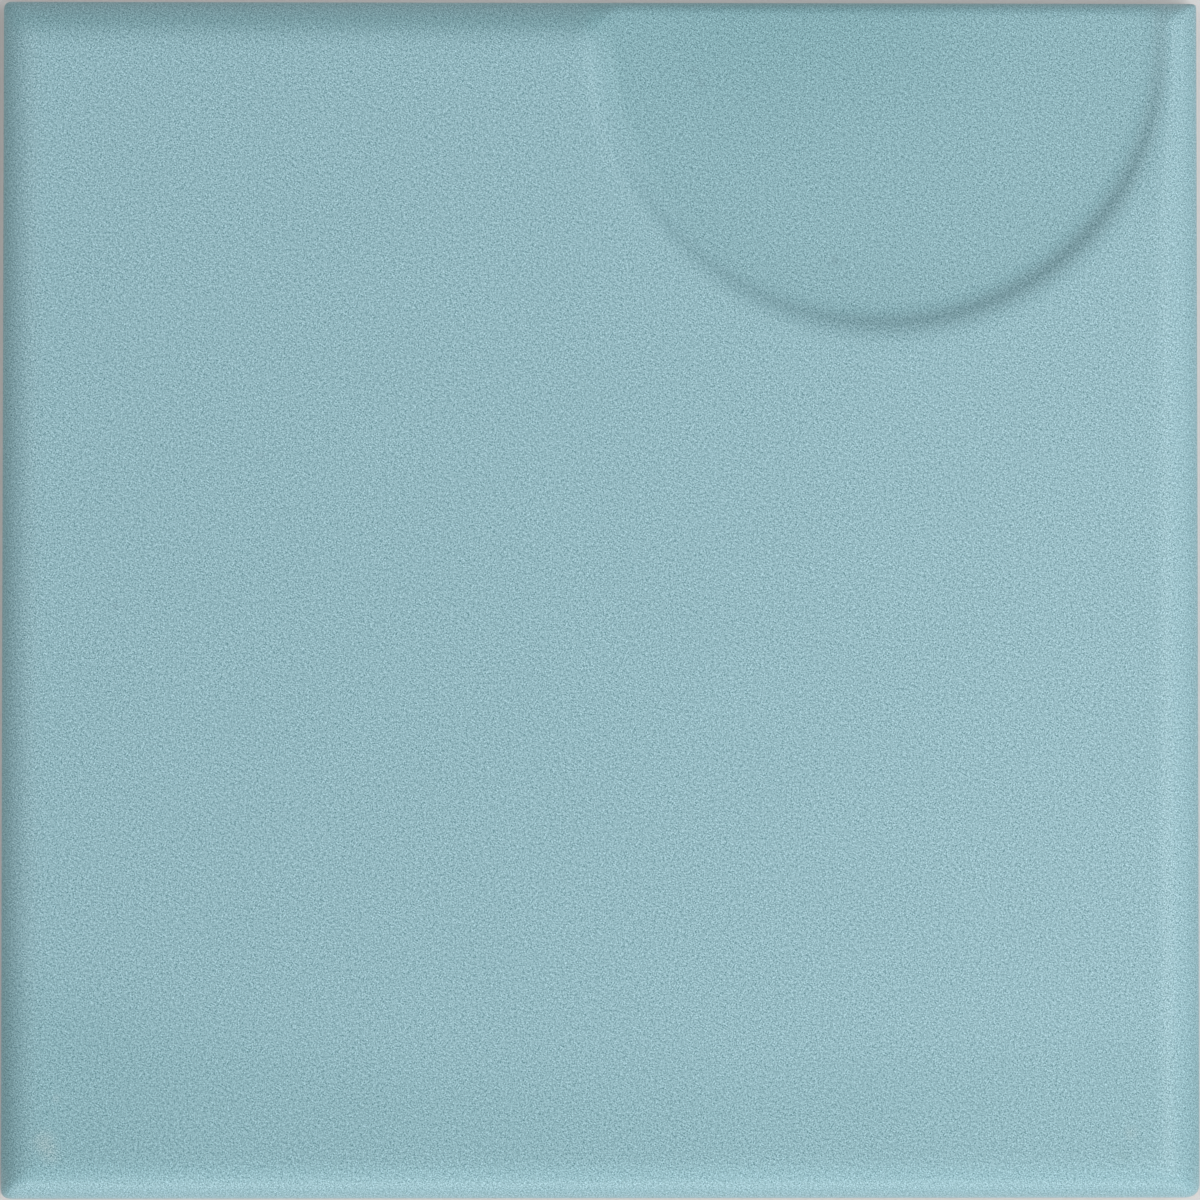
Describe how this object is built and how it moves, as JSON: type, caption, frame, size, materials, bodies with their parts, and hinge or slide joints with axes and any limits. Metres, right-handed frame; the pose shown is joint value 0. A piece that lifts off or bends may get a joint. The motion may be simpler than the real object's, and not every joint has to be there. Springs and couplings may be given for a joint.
{
  "type": "decorative ceramic tile",
  "caption": "Square glazed wall tile with cushioned edges, a shallow half-round recess that runs out through one edge, and a keyed back for adhesive.",
  "frame": {"origin": "middle of the back face", "axes": "+Z out through the glazed face, +Y to the edge that the recess runs out through, +X to the side that the recess sits against"},
  "size_m": [0.15, 0.15, 0.009],
  "materials": {
    "satin_glaze": "satin pale turquoise glaze"
  },
  "bodies": {
    "root": {"tile": "satin_glaze"}
  },
  "joints": []
}
